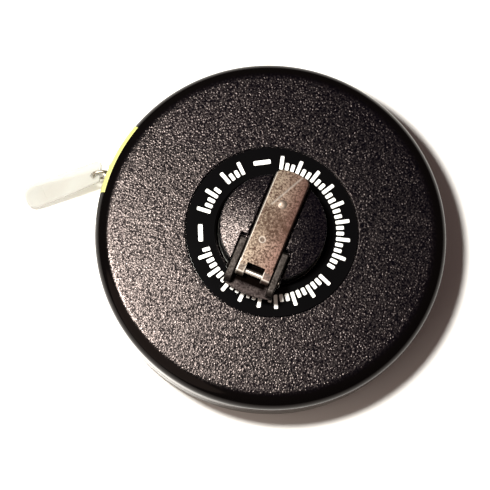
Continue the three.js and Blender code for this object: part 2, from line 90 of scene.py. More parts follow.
fold_axis = JOINTS["crank_fold"]["axis"]
fold_pos = Vector(JOINTS["crank_fold"]["pos_m"]) / MM
CRANK_ANGLE = math.atan2(fold_axis[0], -fold_axis[1])
CRANK_TURN = Matrix.Rotation(CRANK_ANGLE, 4, "Z")
PIN_X = -fold_pos.xy.length
PIN_Z = fold_pos.z
SEAT_END = PIN_X + 12.4
PIN_RADIUS = 1.0
ARM_HALF = 6.25
ARM_THICKNESS = 1.0
ARM_END = 19.8
KNUCKLE_RADIUS = 2.3
CHEEK_THICKNESS = 2.6
ARM_TOP = PIN_Z + KNUCKLE_RADIUS
WINDOW_HALF = 3.15
WINDOW_REACH = 2.7
PUNCH_X, PUNCH_Y = PIN_X + 11.9, 1.7    # a punch mark on the arm
KNOB_X = (Vector(JOINTS["knob_spin"]["pos_m"]) / MM).xy.length
knob_low, knob_high = box_mm("crank_knob")

MOUTH_START, MOUTH_END = 141.8, 167.0
roll_place = Vector(JOINTS["link_swing"]["pos_m"]) / MM
hook_place = Vector(JOINTS["tab_tilt"]["pos_m"]) / MM
tape_axis = JOINTS["tape_pull"]["axis"]
TAPE_ANGLE = math.atan2(tape_axis[1], tape_axis[0])
link_step = (hook_place - roll_place).xy
LINK_ANGLE = math.atan2(link_step.y, link_step.x)
LINK_WIDTH = link_step.length
LINK_HEIGHT = 9
WIRE_RADIUS = 0.5
tilt_axis = JOINTS["tab_tilt"]["axis"]
TAB_ANGLE = math.atan2(-tilt_axis[0], tilt_axis[1]) + math.pi
TAB_DROOP = math.radians(18)
TAB_LENGTH = 27.6
TAB_THICKNESS = 1.8

SEGMENTS = 192                    # round a large turned piece
SMALL = 48                        # round a small one


# ---- mesh helpers -------------------------------------------------------------------

def arc(centre_radius, centre_z, radius, start, end, steps):
    """Points of an arc in the [radius, z] plane, between two angles in degrees."""
    turn = [math.radians(start + (end - start) * i / steps) for i in range(steps + 1)]
    return [(centre_radius + radius * math.cos(a), centre_z + radius * math.sin(a))
            for a in turn]


def as_object(name, bm):
    bmesh.ops.remove_doubles(bm, verts=bm.verts, dist=1e-7)
    bmesh.ops.recalc_face_normals(bm, faces=bm.faces)
    mesh = bpy.data.meshes.new(name)
    bm.to_mesh(mesh)
    bm.free()
    obj = bpy.data.objects.new(name, mesh)
    bpy.context.scene.collection.objects.link(obj)
    return obj


def turned(name, profile, segments=SEGMENTS, start=0, end=360):
    """A closed solid turned about Z from [radius, z] points, whole or between angles."""
    whole = end - start >= 360
    count = segments if whole else segments + 1
    turns = [math.radians(start + (end - start) * i / segments) for i in range(count)]
    bm = bmesh.new()
    rings = []
    for radius, z in profile:
        if radius == 0:
            rings.append([bm.verts.new((0, 0, z * MM))] * count)
        else:
            rings.append([bm.verts.new((radius * math.cos(a) * MM,
                                        radius * math.sin(a) * MM, z * MM)) for a in turns])
    on_axis = profile[0][0] == 0 and profile[-1][0] == 0
    following = rings[1:] + ([] if on_axis else rings[:1])
    for low, high in zip(rings, following):
        for i in range(segments):
            j = (i + 1) % count
            corners = list(dict.fromkeys([low[i], low[j], high[j], high[i]]))
            if len(corners) > 2:
                bm.faces.new(corners)
    if not whole:
        bm.faces.new([ring[0] for ring in rings])
        bm.faces.new([ring[-1] for ring in reversed(rings)])
    return as_object(name, bm)


def prism(name, outline, low, high):
    """A closed solid of an [x, y] outline between two heights."""
    bm = bmesh.new()
    bottom = [bm.verts.new((x * MM, y * MM, low * MM)) for x, y in outline]
    top = [bm.verts.new((x * MM, y * MM, high * MM)) for x, y in outline]
    bm.faces.new(list(reversed(bottom)))
    bm.faces.new(top)
    for i in range(len(outline)):
        j = (i + 1) % len(outline)
        bm.faces.new([bottom[i], bottom[j], top[j], top[i]])
    return as_object(name, bm)


def side_prism(name, outline, low, high):
    """A closed solid of an [x, z] outline between two places along Y."""
    obj = prism(name, outline, -high, -low)
    return placed(obj, Matrix.Rotation(math.pi / 2, 4, "X"))


def block(name, x0, x1, y0, y1, z0, z1):
    return prism(name, [(x0, y0), (x1, y0), (x1, y1), (x0, y1)], z0, z1)


def circle(radius, x=0, y=0):
    return [(x + radius * math.cos(2 * math.pi * i / SMALL),
             y + radius * math.sin(2 * math.pi * i / SMALL)) for i in range(SMALL)]


def bezier(start, control, end, steps=8):
    """Points of a quadratic curve, without its last point."""
    points = []
    for i in range(steps):
        t = i / steps
        points.append(tuple((1 - t) ** 2 * a + 2 * t * (1 - t) * b + t * t * c
                            for a, b, c in zip(start, control, end)))
    return points


def placed(obj, matrix):
    obj.data.transform(matrix)
    obj.data.update()
    return obj


def shifted(x, y, z):
    return Matrix.Translation(Vector((x, y, z)) * MM)


def bake(obj):
    """Replaces an object's mesh with what its modifiers make of it."""
    view = bpy.context.evaluated_depsgraph_get()
    made = bpy.data.meshes.new_from_object(obj.evaluated_get(view))
    obj.modifiers.clear()
    obj.data = made
    return obj


def combine(obj, *others, operation="DIFFERENCE"):
    """Cuts, joins or intersects closed solids, and removes the tools used up."""
    for other in others:
        step = obj.modifiers.new("combine", "BOOLEAN")
        step.operation = operation
        step.solver = "EXACT"
        step.object = other
        bpy.context.view_layer.update()
        bake(obj)
        bpy.data.objects.remove(other)
    return obj


def cut(obj, *others):
    return combine(obj, *others)


def joined(obj, *others):
    return combine(obj, *others, operation="UNION")


def rounded(obj, width, steps=3, angle=32):
    """Rounds the sharp edges of a solid."""
    step = obj.modifiers.new("round", "BEVEL")
    step.width = width * MM
    step.segments = steps
    step.limit_method = "ANGLE"
    step.angle_limit = math.radians(angle)
    step.use_clamp_overlap = False
    return bake(obj)


def smooth(obj, angle=38):
    """Smooth shading, with the edges sharper than an angle kept crisp."""
    bm = bmesh.new()
    bm.from_mesh(obj.data)
    for face in bm.faces:
        face.smooth = True
    for edge in bm.edges:
        two = len(edge.link_faces) == 2
        edge.smooth = not two or edge.calc_face_angle(0) < math.radians(angle)
    bm.to_mesh(obj.data)
    bm.free()
    even = obj.modifiers.new("even", "WEIGHTED_NORMAL")
    even.keep_sharp = True
    return bake(obj)


def dress(obj, body, slot, material, *nodes, angle=38):
    """Finishes a piece: shading, material, the body it rides on and what it stands for."""
    smooth(obj, angle)
    obj.data.materials.clear()
    obj.data.materials.append(material)
    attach(obj, body)
    if nodes:
        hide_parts(*nodes)
    return obj


# ---- material helpers ---------------------------------------------------------------

class Graph:
    """A new material and short calls that add nodes to it."""

    def __init__(self, name, colour, roughness, metallic=0.0):
        self.material = bpy.data.materials.new(name)
        self.material.use_nodes = True
        self.tree = self.material.node_tree
        self.surface = self.tree.nodes["Principled BSDF"]
        self.put(self.surface, "Base Color", (*colour, 1))
        self.put(self.surface, "Roughness", roughness)
        self.put(self.surface, "Metallic", metallic)
        self.place = self.add("ShaderNodeTexCoord").outputs["Object"]

    def put(self, node, name, value):
        if isinstance(value, bpy.types.NodeSocket):
            self.tree.links.new(value, node.inputs[name])
        else:
            node.inputs[name].default_value = value

    def add(self, kind, inputs=None, **settings):
        node = self.tree.nodes.new(kind)
        for name, value in settings.items():
            setattr(node, name, value)
        for name, value in (inputs or {}).items():
            self.put(node, name, value)
        return node

    def noise(self, scale, detail=2.0, roughness=0.5, place=None, distortion=0.0):
        node = self.add("ShaderNodeTexNoise", {
            "Vector": place or self.place, "Scale": scale, "Detail": detail,
            "Roughness": roughness, "Distortion": distortion})
        return node.outputs["Fac"]

    def cells(self, scale):
        node = self.add("ShaderNodeTexVoronoi", {"Vector": self.place, "Scale": scale})
        return node.outputs["Distance"]

    def along(self, angle):
        """Object coordinates turned so that X runs along a direction about Z."""
        node = self.add("ShaderNodeMapping", {
            "Vector": self.place, "Rotation": (0, 0, -angle)})
        return node.outputs["Vector"]

    def stretched(self, scale, angle=0.0):
        """The same, then scaled axis by axis."""
        node = self.add("ShaderNodeMapping", {"Vector": self.along(angle), "Scale": scale})
        return node.outputs["Vector"]

    def math(self, operation, first, second=0.0, third=0.0):
        node = self.add("ShaderNodeMath", operation=operation)
        for index, value in enumerate((first, second, third)):
            self.put(node, index, value)
        return node.outputs["Value"]

    def between(self, value, low, high, to_low=0.0, to_high=1.0):
        node = self.add("ShaderNodeMapRange", {
            "Value": value, "From Min": low, "From Max": high,
            "To Min": to_low, "To Max": to_high})
        return node.outputs["Result"]

    def mix(self, factor, first, second):
        node = self.add("ShaderNodeMix", data_type="RGBA")
        for index, value in ((0, factor), (6, first), (7, second)):
            if isinstance(value, tuple):
                value = (*value, 1)
            self.put(node, index, value)
        return node.outputs[2]

    def radius(self):
        """Distance from the drum's axis, in metres."""
        parts = self.add("ShaderNodeSeparateXYZ", {"Vector": self.place}).outputs
        squares = self.math("MULTIPLY", parts["X"], parts["X"])
        total = self.math("MULTIPLY_ADD", parts["Y"], parts["Y"], squares)
        return self.math("SQRT", total)

    def height(self):
        return self.add("ShaderNodeSeparateXYZ", {"Vector": self.place}).outputs["Z"]

    def bump(self, height, distance, strength=1.0):
        node = self.add("ShaderNodeBump", {
            "Height": height, "Distance": distance, "Strength": strength})
        self.put(self.surface, "Normal", node.outputs["Normal"])

    def paint(self, name, value):
        self.put(self.surface, name, value)


GRAIN_TINT = (1.0, 0.835, 0.80)   # of the light that the grain reflects
GRAIN_SCALE, LUMP_SCALE = 1600, 1150
GRAIN_DEPTH = 0.000118            # relief, in metres
LUMP_SHARE = 0.36                 # of the relief, against the fine grain
FADE_START, FADE_END = 2.2, -0.3  # of the grain past its edge, in millimetres
RIM_GLOSS, LIP_GLOSS = 0.12, 0.03
POLISHED_ROUGHNESS = 0.12


def grained_plastic(name, fineness=1.0, grain_edge=None):
    """Near-black plastic with a fine moulded grain; polished past a radius and by the hub."""
    g = Graph(name, (0.002, 0.002, 0.002), 0.3)
    grain = g.noise(GRAIN_SCALE * fineness, 2.0, 0.5)
    lump = g.between(g.cells(LUMP_SCALE * fineness), 0.43, 0.2)
    rough = g.math("MULTIPLY_ADD", g.noise(90, 3.0), 0.06, 0.26)
    colour = g.mix(lump, (0.0004, 0.0003, 0.0012), (0.002, 0.0016, 0.0028))
    level = g.between(g.math("MULTIPLY_ADD", lump, 0.3, grain), 0.4, 0.8, 0.038, 0.73)
    if grain_edge:
        wander = g.math("MULTIPLY_ADD", g.noise(1300, 2.0), 0.0014, g.radius())
        mask = g.between(wander, (grain_edge + FADE_START) * MM,
                         (grain_edge + FADE_END) * MM)
        outside = g.math("GREATER_THAN", wander, (LABEL_OUTER + 0.7) * MM)
        outside = g.math("MAXIMUM", outside, g.math("LESS_THAN", g.height(), PARTING_Z * MM))
        mask = g.math("MULTIPLY", mask, outside)
        gloss = g.math("MULTIPLY_ADD", outside, RIM_GLOSS - LIP_GLOSS, LIP_GLOSS)
        grain, lump = g.math("MULTIPLY", grain, mask), g.math("MULTIPLY", lump, mask)
        duller = g.math("SUBTRACT", rough, POLISHED_ROUGHNESS)
        rough = g.math("MULTIPLY_ADD", mask, duller, POLISHED_ROUGHNESS)
        level = g.math("MULTIPLY_ADD", mask, g.math("SUBTRACT", level, gloss), gloss)
        colour = g.mix(mask, (0.0012, 0.001, 0.001), colour)
    g.paint("Specular Tint", (*GRAIN_TINT, 1))
    g.paint("Specular IOR Level", level)
    g.paint("Base Color", colour)
    g.paint("Roughness", rough)
    relief = g.math("MULTIPLY_ADD", lump, LUMP_SHARE, grain)
    g.bump(relief, GRAIN_DEPTH / fineness)
    return g.material


def gloss_plastic(name, colour, roughness, variation=0.04, level=0.3):
    """Smooth plastic with faint moulding waves and handling marks."""
    g = Graph(name, colour, roughness)
    marks = g.noise(160, 4.0, 0.6)
    g.paint("Roughness", g.between(marks, 0.3, 0.7, roughness - variation / 2,
                                   roughness + variation))
    g.paint("Base Color", g.mix(g.noise(60), tuple(c * 0.85 for c in colour),
                                tuple(min(1, c * 1.1) for c in colour)))
    g.paint("Specular IOR Level", level)
    g.bump(g.noise(700, 2.0), 0.00001, 0.4)
    return g.material


BRUSHING = 0.2


def worn_metal(name, bright, stain, roughness):
    """Plated steel with stains, pits and light brushing along X."""
    g = Graph(name, bright, roughness, 1.0)
    strokes = g.noise(1.0, 3.0, 0.6, g.stretched((300, 5200, 3000)))
    blotch = g.noise(420, 6.0, 0.7, distortion=0.4)
    speck = g.noise(1700, 3.0, 0.7)
    tone = g.math("MULTIPLY_ADD", g.math("SUBTRACT", speck, 0.5), 1.3, blotch)
    tone = g.math("MULTIPLY_ADD", g.math("SUBTRACT", strokes, 0.5), BRUSHING * 0.3, tone)
    g.paint("Base Color", g.mix(g.between(tone, 0.3, 0.7), stain, bright))
    g.paint("Roughness", g.between(tone, 0.3, 0.7, roughness + 0.12, roughness - 0.06))
    g.bump(g.math("MULTIPLY_ADD", strokes, BRUSHING, speck), 0.00005, 0.8)
    return g.material


def crank_axes(g):
    """The crank's own X and Y, in metres: X along the stowed arm."""
    parts = g.add("ShaderNodeSeparateXYZ", {"Vector": g.along(CRANK_ANGLE)}).outputs
    return parts["X"], parts["Y"]


CREASE_POINT = (18.33, -2.49)     # the crease in the arm: a point on it and its direction
CREASE_STEP = (-11.4, 5.64)
CREASE_START_X = 6.2
PUNCH_RING = 1.05                 # radius of the lighter ring round the punch mark
PUNCH_PIT = 0.71
HIGHLIGHT_AND_MARKS = (0.33, 0.305, 0.28)       # a pale metal colour: the painted highlights on the lit edge and the knuckles' ends, and the lighter crease and punch ring


def crank_plate(name):
    """The crank's nickel: rust across the middle, a crease, a punch mark with a lighter ring,
    painted highlights on the lit left edge and the knuckles' ends, and painted shade on the
    right side, the knuckles and the punch's pit.
    """
    g = Graph(name, (0.13, 0.1, 0.08), 0.46, 1.0)
    x, y = crank_axes(g)
    strokes = g.noise(1.0, 3.0, 0.6, g.stretched((260, 3800, 3000), CRANK_ANGLE))
    speck = g.noise(1300, 3.0, 0.75)
    blotch = g.noise(330, 6.0, 0.7, distortion=0.6)
    tone = g.math("MULTIPLY_ADD", g.math("SUBTRACT", speck, 0.5), 2.6, blotch)
    tone = g.math("MULTIPLY_ADD", g.math("SUBTRACT", strokes, 0.5), 0.25, tone)
    # Painted light and shade across the arm: the plating is lighter towards its left edge, where
    # the light comes from, and darker and redder towards its right edge.
    clean = g.mix(g.between(y, -0.0045, 0.004), (0.128, 0.077, 0.064), (0.178, 0.142, 0.11))
    colour = g.mix(g.between(tone, 0.25, 0.75), (0.034, 0.02, 0.015), clean)
    middle = g.between(g.math("ABSOLUTE", g.math("SUBTRACT", x, 0.0005)), 0.0075, 0.0035)
    rust = g.between(g.noise(700, 4.0, 0.7), 0.4, 0.6, 0.2, 0.85)
    colour = g.mix(g.math("MULTIPLY", middle, rust), colour, (0.03, 0.017, 0.012))
    # More painted shade, dark and reddish, towards the right edge in the middle of the arm.
    right = g.math("MULTIPLY", g.between(y, -0.0025, -0.0055), g.between(x, -0.006, 0.004))
    colour = g.mix(g.math("MULTIPLY", right, 0.4), colour, (0.04, 0.018, 0.015))
    # Painted shade on the knuckles, where they curl round the pin.
    knuckle = g.between(x, (PIN_X + 1.9) * MM, (PIN_X + 1.1) * MM)
    colour = g.mix(g.math("MULTIPLY", knuckle, 0.5), colour, (0.04, 0.036, 0.034))
    crease_turn = math.atan2(CREASE_STEP[1], CREASE_STEP[0])
    across = g.math("MULTIPLY_ADD", x, -math.sin(crease_turn),
                    g.math("MULTIPLY", y, math.cos(crease_turn)))
    offset = (CREASE_POINT[1] * math.cos(crease_turn)
              - CREASE_POINT[0] * math.sin(crease_turn))
    gap = g.math("ABSOLUTE", g.math("SUBTRACT", across, offset * MM))
    line = g.between(gap, 0.0005, 0.00008)
    reach = g.math("MULTIPLY", g.math("GREATER_THAN", x, CREASE_START_X * MM), line)
    # A painted highlight along the arm's left edge, the side the light comes from.
    rim = g.between(y, (ARM_HALF - 0.62) * MM, (ARM_HALF - 0.4) * MM)
    east, north = g.math("SUBTRACT", x, PUNCH_X * MM), g.math("SUBTRACT", y, PUNCH_Y * MM)
    away = g.math("SQRT", g.math("MULTIPLY_ADD", east, east, g.math("MULTIPLY", north, north)))
    ring = g.between(g.math("ABSOLUTE", g.math("SUBTRACT", away, PUNCH_RING * MM)),
                     0.0003, 0.0001)
    shine = g.math("MAXIMUM", g.math("MULTIPLY", reach, 0.3), g.math("MULTIPLY", rim, 0.8))
    shine = g.math("MAXIMUM", shine, g.math("MULTIPLY", ring, 0.4))
    # A painted highlight outlining the knuckles' ends and their edges beside the window.
    end = g.between(g.math("ABSOLUTE", g.math("SUBTRACT", x, (PIN_X - 1.25) * MM)),
                    0.0004, 0.0002)
    flank = g.between(g.math("ABSOLUTE", y), (WINDOW_HALF + 0.45) * MM,
                      (WINDOW_HALF + 0.25) * MM)
    edge = g.math("MAXIMUM", end, g.math("MULTIPLY", flank, knuckle))
    shine = g.math("MAXIMUM", shine, g.math("MULTIPLY", edge, 0.6))
    colour = g.mix(shine, colour, HIGHLIGHT_AND_MARKS)
    # Painted shade in the punch's pit.
    pit = g.math("LESS_THAN", away, PUNCH_PIT * MM)
    g.paint("Base Color", g.mix(g.math("MULTIPLY", pit, 0.7), colour, (0.04, 0.03, 0.025)))
    g.paint("Roughness", g.between(tone, 0.3, 0.7, 0.54, 0.4))
    g.bump(g.math("MULTIPLY_ADD", reach, -0.6, speck), 0.00006, 0.8)
    return g.material


def bracket_plate(name):
    """Dull steel, with the low base painted darker than the cheeks and a painted shadow on the
    base under the hinge.
    """
    g = Graph(name, (0.05, 0.044, 0.04), 0.45, 1.0)
    x, y = crank_axes(g)
    strokes = g.noise(1.0, 3.0, 0.6, g.stretched((300, 5200, 3000), CRANK_ANGLE))
    speck = g.noise(1700, 3.0, 0.7)
    tone = g.math("MULTIPLY_ADD", g.math("SUBTRACT", speck, 0.5), 1.3, g.noise(420, 6.0, 0.7))
    tone = g.math("MULTIPLY_ADD", g.math("SUBTRACT", strokes, 0.5), 0.25, tone)
    worn = g.between(tone, 0.3, 0.7)
    # Painted shade: the low base plate is darker than the cheeks that rise above it.
    cheek = g.mix(worn, (0.012, 0.01, 0.009), (0.036, 0.031, 0.029))
    base = g.mix(worn, (0.007, 0.005, 0.005), (0.03, 0.024, 0.023))
    colour = g.mix(g.between(g.height(), 0.0308, 0.0316), base, cheek)
    # A painted shadow on the base under the hinge, between the cheeks.
    side = g.between(g.math("ABSOLUTE", y), 0.0066, 0.0052)
    reach = g.between(g.math("ABSOLUTE", g.math("SUBTRACT", x, (PIN_X - 0.3) * MM)),
                      0.0042, 0.003)
    low = g.math("LESS_THAN", g.height(), 0.0312)
    pin_shadow = g.math("MULTIPLY", g.math("MULTIPLY", side, reach), low)
    g.paint("Base Color", g.mix(pin_shadow, colour, (0.0008, 0.0005, 0.0004)))
    g.paint("Roughness", g.between(tone, 0.3, 0.7, 0.57, 0.4))
    g.bump(g.math("MULTIPLY_ADD", strokes, 0.5, speck), 0.00005, 0.8)
    return g.material


def hinge_steel(name):
    """The hinge pin: bright in the arm's window, dark towards both ends."""
    g = Graph(name, (0.8, 0.76, 0.7), 0.3, 1.0)
    y = crank_axes(g)[1]
    ends = g.between(g.math("ABSOLUTE", y), 0.0031, 0.0036)
    scuffs = g.noise(1.0, 3.0, 0.6, g.stretched((3000, 400, 3000), CRANK_ANGLE))
    bright = g.mix(scuffs, (0.6, 0.56, 0.5), (0.95, 0.92, 0.88))
    g.paint("Base Color", g.mix(ends, bright, (0.03, 0.026, 0.023)))
    g.paint("Roughness", g.between(scuffs, 0.3, 0.7, 0.34, 0.24))
    g.bump(scuffs, 0.00002, 0.5)
    return g.material


TICKS_PER_METRE = 100.0
THREADS = 9000.0                  # radians of weave per metre


def coated_tape(name):
    """Coated glass-fibre tape: woven threads under the film and black scale ticks."""
    g = Graph(name, (0.82, 0.74, 0.28), 0.32)
    along = g.add("ShaderNodeSeparateXYZ", {"Vector": g.along(TAPE_ANGLE)}).outputs
    span = g.math("FRACT", g.math("MULTIPLY", along["X"], TICKS_PER_METRE))
    tick = g.math("LESS_THAN", span, 0.07)
    low = g.math("LESS_THAN", along["Z"], (roll_place.z - 1) * MM)
    colour = g.mix(g.noise(500), (0.80, 0.70, 0.24), (0.88, 0.80, 0.34))
    g.paint("Base Color", g.mix(g.math("MULTIPLY", tick, low), colour, (0.02, 0.02, 0.02)))
    weave = g.math("SINE", g.math("MULTIPLY", along["Z"], THREADS))
    g.bump(weave, 0.00002, 0.5)
    return g.material


def soft_vinyl(name, colour, shade, through):
    """Cloudy vinyl: part of the light passes through it, scattered or straight."""
    g = Graph(name, colour, 0.42)
    g.paint("Base Color", g.mix(g.between(g.noise(130, 4.0), 0.35, 0.7), colour, shade))
    g.bump(g.noise(1500, 3.0), 0.00003, 0.5)
    glow = g.add("ShaderNodeBsdfTranslucent", {"Color": (*through, 1)})
    clear = g.add("ShaderNodeBsdfTransparent", {"Color": (*through, 1)})
    for fraction, layer in ((0.35, glow), (0.4, clear)):
        below = g.tree.nodes["Material Output"].inputs["Surface"].links[0].from_socket
        blend = g.add("ShaderNodeMixShader", {"Fac": fraction})
        g.put(blend, 1, below)
        g.put(blend, 2, layer.outputs[0])
        g.put(g.tree.nodes["Material Output"], "Surface", blend.outputs["Shader"])
    return g.material


CASE_BLACK = grained_plastic("case_grain", grain_edge=57.7)
HUB_BLACK = grained_plastic("hub_grain", fineness=1.2)
LABEL_BLACK = gloss_plastic("label_black", (0.0015, 0.0015, 0.0017), 0.1, 0.01, 0.12)
INK_WHITE = gloss_plastic("ink_white", (0.78, 0.78, 0.76), 0.4)
INSERT_YELLOW = gloss_plastic("insert_yellow", (0.42, 0.42, 0.13), 0.32)
KNOB_BLACK = gloss_plastic("knob_black", (0.006, 0.006, 0.007), 0.3)
CRANK_NICKEL = crank_plate("crank_nickel")
BRACKET_STEEL = bracket_plate("bracket_steel")
PIN_STEEL = hinge_steel("pin_steel")
RIVET_NICKEL = worn_metal("rivet_nickel", (0.3, 0.25, 0.21), (0.16, 0.12, 0.1), 0.55)
ZINC = worn_metal("zinc", (0.62, 0.61, 0.58), (0.36, 0.34, 0.31), 0.3)
LINK_WIRE = worn_metal("link_wire", (0.34, 0.31, 0.26), (0.2, 0.17, 0.13), 0.42)
DRUM_GREY = gloss_plastic("drum_grey", (0.30, 0.30, 0.28), 0.5)
NYLON = gloss_plastic("nylon", (0.78, 0.75, 0.66), 0.45)
TAPE_YELLOW = coated_tape("tape_yellow")
TAB_CREAM = soft_vinyl("tab_cream", (0.4, 0.41, 0.4), (0.36, 0.35, 0.33), (0.86, 0.86, 0.84))


# ---- the case -----------------------------------------------------------------------

FRONT_CENTRE = CASE_RADIUS - FRONT_FILLET
FRONT_CENTRE_Z = CASE_HEIGHT - FRONT_FILLET
BACK_CENTRE = CASE_RADIUS - BACK_FILLET
INNER_WALL = CASE_RADIUS - WALL
MOUTH_INNER = CASE_RADIUS - 3.8
MOUTH_LOW, MOUTH_HIGH = 1.5, 22.5
MOUTH_GAP = 0.2                   # round the insert
COVER_EDGE = 0.3                  # rounding of each cover's edge at the seam
SEAM = 0.12                       # half the visible seam between the covers


def sector(name, inner, outer, start, end, low, high):
    return turned(name, [(inner, low), (outer, low), (outer, high), (inner, high)],
                  48, start, end)


def mouth_cutter(clearance):
    spare = math.degrees(clearance / CASE_RADIUS)
    return sector("mouth_cutter", MOUTH_INNER - clearance, CASE_RADIUS + 3,
                  MOUTH_START - spare, MOUTH_END + spare,
                  MOUTH_LOW - clearance, MOUTH_HIGH + clearance)


def front_cover():
    """The front shell, turned, with a recess for the ring and a bore for the hub."""
    lip = LABEL_INNER - 0.2
    profile = [
        (HUB_RADIUS + 0.45, LABEL_SEAT_Z - 1.5), (33.8, LABEL_SEAT_Z - 1.5),
        (34.8, CASE_HEIGHT - WALL),
        *arc(FRONT_CENTRE, FRONT_CENTRE_Z, FRONT_FILLET - WALL, 90, 0, 6),
        (INNER_WALL, PARTING_Z + SEAM),
        *arc(CASE_RADIUS - COVER_EDGE, PARTING_Z + SEAM + COVER_EDGE, COVER_EDGE, -90, 0, 4),
        *arc(FRONT_CENTRE, FRONT_CENTRE_Z, FRONT_FILLET, 0, 90, 20),
        *arc(LABEL_OUTER + 0.5, CASE_HEIGHT - 0.25, 0.25, 90, 180, 4),
        (LABEL_OUTER + 0.25, LABEL_SEAT_Z), (lip, LABEL_SEAT_Z),
        *arc(lip - 0.12, LABEL_SEAT_Z + 0.4, 0.12, 0, 180, 6)]
    cover = turned("front_cover_shell", profile)
    return cut(cover, mouth_cutter(MOUTH_GAP))


def screw_places():
    """Centres of the case screws, from the CAD screws."""
    for index in range(1, 5):
        low, high = box_mm(f"case_screw_{index}")
        yield index, (low + high) / 2


def back_cover():
    """The back shell with its axle post, a moulded ring and the screw wells."""
    profile = [
        (0, 0), (24, 0), (24.3, 0.3), (25.1, 0.3), (25.4, 0), (BACK_CENTRE, 0),
        *arc(BACK_CENTRE, BACK_FILLET, BACK_FILLET, -90, 0, 16)[1:],
        *arc(CASE_RADIUS - COVER_EDGE, PARTING_Z - SEAM - COVER_EDGE, COVER_EDGE, 0, 90, 4),
        (INNER_WALL, PARTING_Z - SEAM),
        *arc(BACK_CENTRE, BACK_FILLET, BACK_FILLET - WALL, 0, -90, 5),
        (6, WALL), (4, WALL + 1), (4, 15.7), (3.2, 16.5), (0, 16.5)]
    cover = turned("back_cover_shell", profile)
    wells = []
    for _, place in screw_places():
        wells.append(prism("screw_well", circle(2.4, place.x, place.y), -1, 1.5))
        wells.append(prism("screw_hole", circle(1.4, place.x, place.y), 1.4, 6))
    return cut(cover, mouth_cutter(MOUTH_GAP), *wells)


def cross_screw(name, radius, shank, low, tip):
    """A pan-head screw, head down, with a tapered cross recess."""
    body = turned(name, [
        (0, low), (radius * 0.55, low), (radius * 0.86, low + 0.18),
        (radius, low + 0.5), (radius, low + 1.1), (radius - 0.1, low + 1.2),
        (shank, low + 1.2), (shank, tip - 0.8), (0, tip)], SMALL)
    for turn in (0, math.pi / 2):
        blade = block("blade", -radius * 0.62, radius * 0.62, -0.26, 0.26, low - 1, low + 0.6)
        cut(body, placed(blade, Matrix.Rotation(turn + 0.4, 4, "Z")))
    return body


def case_screws():
    for index, place in screw_places():
        screw = cross_screw(f"case_screw_{index}_fine", 2.05, 1.25, 0.2, 20.2)
        placed(screw, shifted(place.x, place.y, 0))
        dress(screw, "case", "steel", ZINC, f"case_screw_{index}")


def label_ring():
    low, high = label_low.z, label_high.z
    return turned("label_ring_fine", [
        (LABEL_INNER, low), (LABEL_OUTER, low),
        *arc(LABEL_OUTER - 0.15, high - 0.15, 0.15, 0, 90, 3),
        *arc(LABEL_INNER + 0.15, high - 0.15, 0.15, 90, 180, 3)])


PRINT_RADIUS = 25.4
BAR_HEIGHT = 5.0
BAR_WIDTH = 1.3
# Groups of scale bars: first and last angle in degrees, going clockwise, and the pitch.
BAR_GROUPS = [(82, -31, 4.9), (-43, -92, 4.9), (-100, -166, 4.9), (163, 143, 5),
              (131, 116, 5)]
DASH_ANGLES = [98, 182]
DASH_LENGTH, DASH_WIDTH = 6.2, 1.6
INK_THICKNESS = 0.03


def pill(width, height):
    """Outline of a bar with softened corners, centred on the origin."""
    soft, steps = min(width, height) * 0.28, 6
    outline = []
    for sx, sy, start in ((1, -1, -90), (1, 1, 0), (-1, 1, 90), (-1, -1, 180)):
        centre = (sx * (width / 2 - soft), sy * (height / 2 - soft))
        outline += [(centre[0] + soft * math.cos(math.radians(start + 90 * i / steps)),
                     centre[1] + soft * math.sin(math.radians(start + 90 * i / steps)))
                    for i in range(steps + 1)]
    return outline


def printed_marks():
    """Plain bars and dashes round the ring: a generic scale with no lettering."""
    bottom, top = label_high.z - 0.02, label_high.z + INK_THICKNESS
    marks = []
    for start, end, pitch in BAR_GROUPS:
        count = round((start - end) / pitch)
        for i in range(count + 1):
            height = BAR_HEIGHT if i % 3 == 0 else BAR_HEIGHT * 0.55
            marks.append((start - i * pitch, PRINT_RADIUS + (height - BAR_HEIGHT) / 2,
                          height, BAR_WIDTH))
    marks += [(angle, PRINT_RADIUS, DASH_WIDTH, DASH_LENGTH) for angle in DASH_ANGLES]
    bm = bmesh.new()
    for angle, radius, radial, tangential in marks:
        turn = math.radians(angle)
        shape = [(radius + x, y) for x, y in pill(radial, tangential)]
        shape = [(x * math.cos(turn) - y * math.sin(turn),
                  x * math.sin(turn) + y * math.cos(turn)) for x, y in shape]
        low = [bm.verts.new((x * MM, y * MM, bottom * MM)) for x, y in shape]
        high = [bm.verts.new((x * MM, y * MM, top * MM)) for x, y in shape]
        bm.faces.new(list(reversed(low)))
        bm.faces.new(high)
        for i in range(len(shape)):
            j = (i + 1) % len(shape)
            bm.faces.new([low[i], low[j], high[j], high[i]])
    return as_object("label_print", bm)


def mouth_insert():
    """The wall's own section, slightly proud, with the tape's slot through it."""
    proud = 0.12
    profile = [
        (MOUTH_INNER, MOUTH_LOW),
        *[p for p in arc(BACK_CENTRE, BACK_FILLET, BACK_FILLET + proud, -90, 0, 16)
          if p[1] > MOUTH_LOW],
        *[p for p in arc(FRONT_CENTRE, FRONT_CENTRE_Z, FRONT_FILLET + proud, 0, 90, 20)
          if p[1] < MOUTH_HIGH],
        (MOUTH_INNER, MOUTH_HIGH)]
    insert = turned("mouth_insert_fine", profile, 64, MOUTH_START, MOUTH_END)
    middle = roll_place.z
    slot = prism("slot", [(-14, -1.7), (14, -1.7), (14, 1.7), (-14, 1.7)],
                 middle - 7.3, middle + 7.3)
    placed(slot, shifted(roll_place.x, roll_place.y, 0) @
           Matrix.Rotation(TAPE_ANGLE, 4, "Z"))
    relief = prism("relief", circle(2.6, roll_place.x, roll_place.y), middle - 6, middle + 6)
    return rounded(cut(insert, slot, relief), 0.25, 3, 40)


# ---- the hub ------------------------------------------------------------------------

